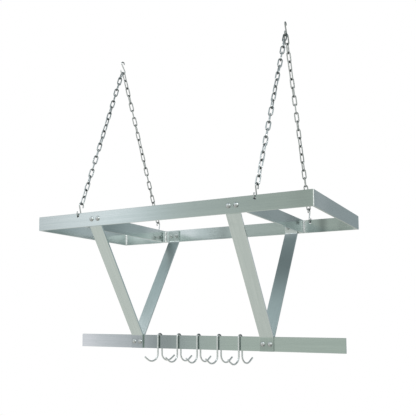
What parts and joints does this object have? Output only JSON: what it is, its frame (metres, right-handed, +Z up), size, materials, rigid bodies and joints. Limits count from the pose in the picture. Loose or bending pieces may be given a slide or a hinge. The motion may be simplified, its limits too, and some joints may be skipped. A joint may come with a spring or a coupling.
{
  "type": "hanging pot rack",
  "caption": "Hanging pot rack: welded flat-bar frame on chains with S-hooks, bent straps down to a lower bar on edge, and sliding double-prong wire pot hooks.",
  "frame": {"origin": "midway between the two places where the ceiling carries the rack: the inside tops of the top hooks' upper bights", "axes": "+X along the rack to the right, +Y to the back, +Z up; the rack hangs plumb"},
  "size_m": [1.0922, 0.5736, 1.224],
  "materials": {
    "brushed_bar": "brushed along the bar, clear coated",
    "weld": "ground and polished weld",
    "fastener": "bright plated",
    "chain_wire": "dull zinc plated wire",
    "hook_wire": "zinc plated wire"
  },
  "bodies": {
    "top_hooks": {"top_hook_left": "chain_wire", "top_hook_right": "chain_wire"},
    "top_links": {"left_front_top_link": "chain_wire", "left_back_top_link": "chain_wire", "right_front_top_link": "chain_wire", "right_back_top_link": "chain_wire"},
    "left_chains": {"left_front_chain": "chain_wire", "left_back_chain": "chain_wire", "left_front_frame_hook": "chain_wire", "left_back_frame_hook": "chain_wire"},
    "right_chains": {"right_front_chain": "chain_wire", "right_back_chain": "chain_wire", "right_front_frame_hook": "chain_wire", "right_back_frame_hook": "chain_wire"},
    "rack": {"front_rail": "brushed_bar", "back_rail": "brushed_bar", "left_end_rail": "brushed_bar", "right_end_rail": "brushed_bar", "left_cross_bar": "brushed_bar", "right_cross_bar": "brushed_bar", "corner_welds": "weld", "cross_bar_welds": "weld", "left_front_strap": "brushed_bar", "left_back_strap": "brushed_bar", "right_front_strap": "brushed_bar", "right_back_strap": "brushed_bar", "lower_bar": "brushed_bar", "rail_bolts": "fastener", "rail_washers": "fastener", "rail_nuts": "fastener", "bar_bolts": "fastener", "bar_washers": "fastener", "bar_nuts": "fastener"},
    "pot_hook_1": {"pot_hook_1": "hook_wire"},
    "pot_hook_2": {"pot_hook_2": "hook_wire"},
    "pot_hook_3": {"pot_hook_3": "hook_wire"},
    "pot_hook_4": {"pot_hook_4": "hook_wire"},
    "pot_hook_5": {"pot_hook_5": "hook_wire"}
  },
  "joints": [
    {"name": "sway_across", "type": "hinge", "parent": "top_hooks", "child": "top_links", "pos_m": [0, 0, -0.03844], "axis": [1, 0, 0], "range_deg": [-8, 8]},
    {"name": "sway_along", "type": "hinge", "parent": "top_links", "child": "left_chains", "pos_m": [-0.35556, 0, -0.06957], "axis": [0, 1, 0], "range_deg": [-7.5, 7.5]},
    {"name": "right_sway", "type": "hinge", "parent": "top_links", "child": "right_chains", "pos_m": [0.35556, 0, -0.06957], "axis": [0, 1, 0], "range_deg": [-7.5, 7.5]},
    {"name": "rack_level", "type": "hinge", "parent": "left_chains", "child": "rack", "pos_m": [-0.34601, 0, -0.68326], "axis": [0, 1, 0], "range_deg": [-7.8, 7.8]},
    {"name": "pot_hook_1_slide", "type": "slide", "parent": "rack", "child": "pot_hook_1", "axis": [1, 0, 0], "range_m": [-0.062, 0.055]},
    {"name": "pot_hook_2_slide", "type": "slide", "parent": "rack", "child": "pot_hook_2", "axis": [1, 0, 0], "range_m": [-0.055, 0.055]},
    {"name": "pot_hook_3_slide", "type": "slide", "parent": "rack", "child": "pot_hook_3", "axis": [1, 0, 0], "range_m": [-0.055, 0.055]},
    {"name": "pot_hook_4_slide", "type": "slide", "parent": "rack", "child": "pot_hook_4", "axis": [1, 0, 0], "range_m": [-0.055, 0.055]},
    {"name": "pot_hook_5_slide", "type": "slide", "parent": "rack", "child": "pot_hook_5", "axis": [1, 0, 0], "range_m": [-0.055, 0.066]}
  ],
  "couplings": [
    {"joint": "right_sway", "follows": "sway_along", "ratio": 1},
    {"joint": "rack_level", "follows": "sway_along", "ratio": -1.0276}
  ]
}
